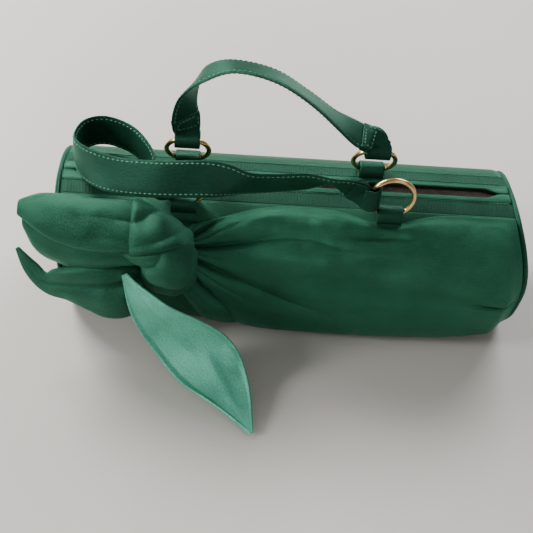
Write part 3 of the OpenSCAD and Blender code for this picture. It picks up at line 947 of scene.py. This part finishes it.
def crease_fan(x, s, centre, turns, reach_mm, height, phase):
    """Gathers that fan out from a point: rounded folds with narrow valleys between them."""
    dx, ds = x - centre[0], s - centre[1]
    angle = np.arctan2(ds, dx)
    reach = np.hypot(dx, ds)
    bend = angle + 0.10 * ripple(flat_place(x, s), 45, 66)
    fold = np.abs(np.sin(bend * turns + phase)) ** 0.55 - 0.6
    return height * fold * np.exp(-((reach / reach_mm) ** 1.3))


def drape_swell(x, s, v):
    """How far the loose layer stands off, in mm: fullness, hollows, long folds and a tuck at its right."""
    place = flat_place(x, s)
    wide = np.sin(np.pi * np.clip(v, 0, 1)) ** 0.7
    bulge = (3.0 + 3.0 * smooth_step(x, -40, 40)) * wide + 3.5 * hump(v, 0.8, 0.2)
    soft = 3.0 * hump(x, 118, 26) * hump(s, run_at_z(40), 16) + 2.4 * ripple(place, 64, 61)
    soft = soft + 1.2 * ripple(place * (0.6, 1.3, 1), 24, 62) + 0.35 * ripple(place, 9, 63)
    under_tab = 2.0 * hump(s, run_at_z(76), 5) - 2.6 * hump(s, run_at_z(84), 3)
    sag = hump(x, FRONT_RIGHT_X - 3, 24) * (under_tab - 1.6 * hump(s, run_at_z(68), 6))
    long_fold = 1.8 * hump(s, run_at_z(72) + 0.12 * x, 7) - 1.8 * hump(s, run_at_z(58) + 0.1 * x, 9)
    tuck_s = run_at_z(45) + 0.05 * (x - PANEL_X)
    tuck = 3.4 * hump(s, tuck_s - 4.5, 4) - 6.0 * hump(s, tuck_s, 1.9)
    tuck = tuck * smooth_step(x, PANEL_X - 36, PANEL_X - 14) * smooth_step(PANEL_X - x, 1, 9)
    return bulge + soft + sag + tuck + long_fold * smooth_step(x, -60, 20)


def make_drape():
    """The draped layer: sewn in along the top, the right end and the base, gathered to the knot."""
    u = np.linspace(0, 1, 190)[:, None]
    v = np.linspace(0, 1, 120)[None, :]
    left = KNOT_X + 8
    x = left + (PANEL_X - 0.4 - left) * (u**1.1) + 0 * v
    open_up = smooth_step(u, -0.04, 0.36)
    knot_top, knot_foot = run_at_z(KNOT_TOP_Z), run_at_z(KNOT_FOOT_Z)
    top = knot_top + (run_at_y(DRAPE_TOP_Y) - knot_top) * open_up
    foot = knot_foot + (RUNS[4] - 2 - knot_foot) * smooth_step(u, -0.12, 0.26)
    dip = 9 * hump(x, FRONT_RIGHT_X - 2, 24) * (1 - v) ** 6
    s = top + (foot - top) * v + dip
    knot_point = (left - 4, run_at_z(74))
    fans = crease_fan(x, s, knot_point, 6.2, 75, 10, 0.5) + crease_fan(x, s, knot_point, 13, 34, 4, 1.4)
    inside = smooth_step(v, 0, 0.06) * smooth_step(1 - v, 0, 0.06)
    seam = smooth_step(PANEL_X - x, 0, 13)
    out = 1.8 + (drape_swell(x, s, v) * seam + fans) * inside + 2.2 * hump(v, 0, 0.03) * (1 - open_up)
    grid = barrel_points(x, s, np.clip(out, 0.8, 12) + end_tuck(x, s))
    # The drape's satin carries painted light: it is lighter than the body satin
    piece = add_sheet("draped_front", grid, DRAPE_T, "drape_satin", "bag")
    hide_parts("drape_panel")
    declare_cloth(grid)


def lobe(name, sections, creases):
    """A closed soft form lofted through closed outlines of (y, z) at stations along X from the knot."""
    stations = np.array([[KNOT_X + x, *np.ravel(points)] for x, points in sections], float)
    columns = 96
    grid = []
    for row in smooth_path(stations, 10):
        outline = row[1:].reshape(-1, 2)
        k = len(outline)
        t = np.linspace(0, k, columns, endpoint=False)
        i = t.astype(int)
        f = (t - i)[:, None]
        yz = spline(outline[(i - 1) % k], outline[i % k], outline[(i + 1) % k], outline[(i + 2) % k], f)
        grid.append(np.column_stack([np.full(columns, row[0]), yz]))
    grid = np.array(grid)
    outward = unit(grid - grid.mean(1, keepdims=True))
    lift = 1.1 * ripple(grid, 26, 71) + 0.5 * ripple(grid, 10, 72) + creases(grid)
    grid = grid + lift[..., None] * outward
    piece = add_sheet(name, grid, 0, "bow_satin", "bag", close_columns=True)
    cap_ends(piece.data, *grid.shape[:2])
    return piece


def gathers_to_knot(grid):
    """Pleats that run out of the knot along the loop and soon fade."""
    away = KNOT_X - 8 - grid[..., 0]
    turn = np.arctan2(grid[..., 2] - 86, -(grid[..., 1] + 60))
    bend = turn + 0.25 * ripple(grid, 40, 76)
    fold = np.abs(np.sin(bend * 4.5 + 0.4)) ** 0.6 - 0.62
    return 3.4 * fold * np.exp(-((np.maximum(away, 0) / 26) ** 1.4)) + 1.2 * ripple(grid, 38, 75)


def wraps(grid):
    """The band's pleats pass over the knot from top to bottom, a little askew."""
    line = grid[..., 0] + 0.16 * (grid[..., 2] - 70) + 1.2 * ripple(grid, 22, 77)
    return 1.0 * (np.abs(np.sin((line - KNOT_X) * 0.3 + 0.9)) ** 0.5 - 0.6)


def collar_folds(grid):
    """Two long folds that cross the band on a slant and curl at its right."""
    line = grid[..., 2] - 0.35 * (grid[..., 0] - KNOT_X) + 0.4 * (grid[..., 1] + 60)
    line = line + 1.5 * ripple(grid, 22, 74)
    return 1.9 * (np.abs(np.sin((line - 98) * 0.2)) ** 0.6 - 0.6)


def knob_creases(grid):
    """A few soft folds across the knob, falling to the right."""
    line = grid[..., 2] + 0.55 * (grid[..., 0] - KNOT_X) + 1.5 * ripple(grid, 20, 78)
    return 1.3 * (np.abs(np.sin((line - 84) * 0.17)) ** 0.6 - 0.55)


# The bow's forms: each outline is (y, z) from the back over the top to the front lip, at an x from the knot
BOW_FORMS = [
    ("bow_loop_cloth", "bow_loop", gathers_to_knot, 0.35, [
        (2, [(-57, 82), (-57, 93), (-64, 94), (-68, 88), (-64, 80)]),
        (-8, [(-56, 86), (-55, 103), (-66, 103), (-76, 95), (-66, 84)]),
        (-22, [(-54, 90), (-50, 111), (-64, 110), (-79, 97), (-66, 87)]),
        (-44, [(-52, 92), (-48, 111), (-62, 111), (-78, 95), (-64, 86)]),
        (-66, [(-50, 95), (-46, 111), (-60, 112), (-75, 97), (-60, 89)]),
        (-82, [(-50, 98), (-47, 111), (-58, 113), (-70, 103), (-56, 94)]),
        (-94, [(-54, 103), (-52, 110), (-58, 112), (-63, 107), (-57, 101)]),
    ]),
    ("bow_loop_under", None, gathers_to_knot, 0.35, [
        (-2, [(-58, 78), (-58, 88), (-64, 89), (-67, 84), (-64, 77)]),
        (-18, [(-57, 74), (-57, 92), (-67, 93), (-75, 84), (-68, 75)]),
        (-40, [(-57, 68), (-56, 92), (-68, 94), (-76, 81), (-69, 69)]),
        (-64, [(-56, 67), (-54, 95), (-65, 97), (-73, 81), (-66, 67)]),
        (-83, [(-54, 74), (-51, 101), (-59, 103), (-67, 87), (-61, 73)]),
        (-92, [(-54, 90), (-52, 103), (-58, 105), (-61, 97), (-57, 89)]),
    ]),
    ("bow_knot_cloth", "bow_knot", wraps, 0.7, [
        (-18, [(-57, 72), (-62, 76), (-66, 70), (-64, 60), (-57, 60)]),
        (-12, [(-55, 84), (-68, 84), (-74, 70), (-69, 54), (-56, 52)]),
        (2, [(-55, 92), (-70, 92), (-77, 72), (-71, 50), (-56, 47)]),
        (14, [(-56, 86), (-67, 86), (-72, 70), (-68, 52), (-56, 50)]),
        (20, [(-57, 76), (-62, 78), (-65, 68), (-63, 58), (-57, 58)]),
    ]),
    ("bow_knob_cloth", None, knob_creases, 0.6, [
        (-15, [(-70, 84), (-74, 86), (-78, 81), (-76, 75), (-71, 76)]),
        (-9, [(-68, 90), (-77, 93), (-85, 82), (-80, 69), (-69, 70)]),
        (1, [(-66, 95), (-79, 97), (-88, 82), (-81, 66), (-67, 66)]),
        (11, [(-65, 96), (-76, 97), (-84, 82), (-79, 66), (-66, 66)]),
        (18, [(-64, 92), (-69, 93), (-74, 82), (-71, 70), (-65, 70)]),
    ]),
    ("bow_collar_cloth", None, collar_folds, 0.5, [
        (-23, [(-56, 92), (-52, 106), (-63, 106), (-75, 96), (-66, 90)]),
        (-21.5, [(-54, 88), (-49, 112), (-65, 112), (-81, 97), (-67, 84)]),
        (-12, [(-55, 86), (-51, 111), (-68, 109), (-82, 98), (-68, 84)]),
        (0, [(-56, 85), (-54, 106), (-68, 106), (-80, 99), (-68, 85)]),
        (10, [(-57, 86), (-56, 100), (-65, 101), (-74, 97), (-66, 86)]),
        (17, [(-58, 88), (-58, 94), (-63, 95), (-66, 92), (-62, 87)]),
    ]),
]
UNDER_STRAP = ("bow_loop_cloth", "bow_collar_cloth")
# A rounded fold below the collar: x from the knot, y, z, radius
PLEAT = [(-30, -72, 90, 2.5), (-18, -77, 89, 5), (-6, -78, 90, 6), (6, -75, 94, 3)]


def make_bow():
    """The loops, knot, knob, collar and pleat; the pieces that lie under the front strap get mesh data of
    their own.
    """
    for name, cad, creases, fill, sections in BOW_FORMS:
        piece = lobe(name, sections, creases)
        if cad:
            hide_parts(cad)
        if name in UNDER_STRAP:
            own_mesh(piece)
    path = smooth_path([(KNOT_X + x, *rest) for x, *rest in PLEAT], 8)
    centre = path[:, :3] + 0.8 * ripple(path[:, :3], 14, 79)[:, None]
    pleat = add_tube("bow_pleat", centre, path[:, 3], "bow_satin", "bag", sides=20)


# The tails' stations: place, width direction, width
TAIL_RIGHT = [
    (-109, -72, 68, 0.3, -0.2, 0.95, 5),
    (-94, -82, 51, 0.75, -0.2, 0.7, 28),
    (-75, -88, 33, 0.85, 0.05, 0.6, 40),
    (-54, -98, 18, 0.9, 0.25, 0.4, 44),
    (-38, -116, 8, 0.85, 0.45, 0.1, 32),
    (-21, -146, 3.2, 0.85, 0.5, 0, 2),
]
TAIL_LEFT = [
    (KNOT_X - 14, -68, 54, 0, 0.1, 1, 34),
    (KNOT_X - 30, -74, 50, 0, 0.15, 1, 46),
    (KNOT_X - 49, -75, 52, 0, 0.05, 1, 42),
    (KNOT_X - 67, -72, 53, 0.3, -0.1, 0.95, 30),
    (KNOT_X - 81, -67, 52, 0.75, -0.1, 0.6, 15),
    (KNOT_X - 90, -62, 60, 0.85, 0, 0.5, 11),
    (KNOT_X - 98, -57, 73, 0.9, 0, 0.4, 2),
]


def add_tail(name, stations, cad, cup, fold, material):
    """A pointed tail of doubled cloth, with a lengthwise fold and a rolled edge."""
    ribbon = Ribbon(stations, 16)
    v = np.linspace(-1, 1, 41)
    index = np.arange(len(ribbon.place))
    grid = np.stack([ribbon.point(index, share, 0) for share in v], axis=1)
    run = (ribbon.length / ribbon.length[-1])[:, None]
    size = (ribbon.width / 40)[:, None]
    ridge = fold * hump(v[None] + 0.5 * run, 0.35, 0.22) * (1 - run)
    edge = 2.4 * smooth_step(np.abs(v)[None], 0.82, 1.0)
    shape = (cup * (v**2)[None] + ridge + edge) * size
    shape = shape + (1.5 * ripple(grid, 30, 81) + 0.6 * ripple(grid, 12, 82)) * np.minimum(size, 1)
    grid = grid + shape[..., None] * ribbon.normal[:, None]
    grid[..., 2] = np.maximum(grid[..., 2], TAIL_T)
    piece = add_sheet(name, grid, TAIL_T, material, "bag")
    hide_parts(cad)
    declare_cloth(grid)


def make_floor():
    """A plain pale floor under the resting face."""
    bpy.ops.mesh.primitive_plane_add(size=40)
    floor = bpy.context.object
    floor.name = "floor"
    floor.data.materials.append(floor_material())


make_shell()
make_strips()
make_welts()
make_ends()
make_zip()
make_handles()
make_drape()
make_bow()
# The right tail's satin carries a painted sheen in its colour
add_tail("tail_right_cloth", TAIL_RIGHT, "bow_tail_right", 2.0, 3.0, "painted_sheen_tail_satin")
add_tail("tail_left_cloth", TAIL_LEFT, "bow_tail_left", 3.0, 5.0, "bow_satin")
make_floor()
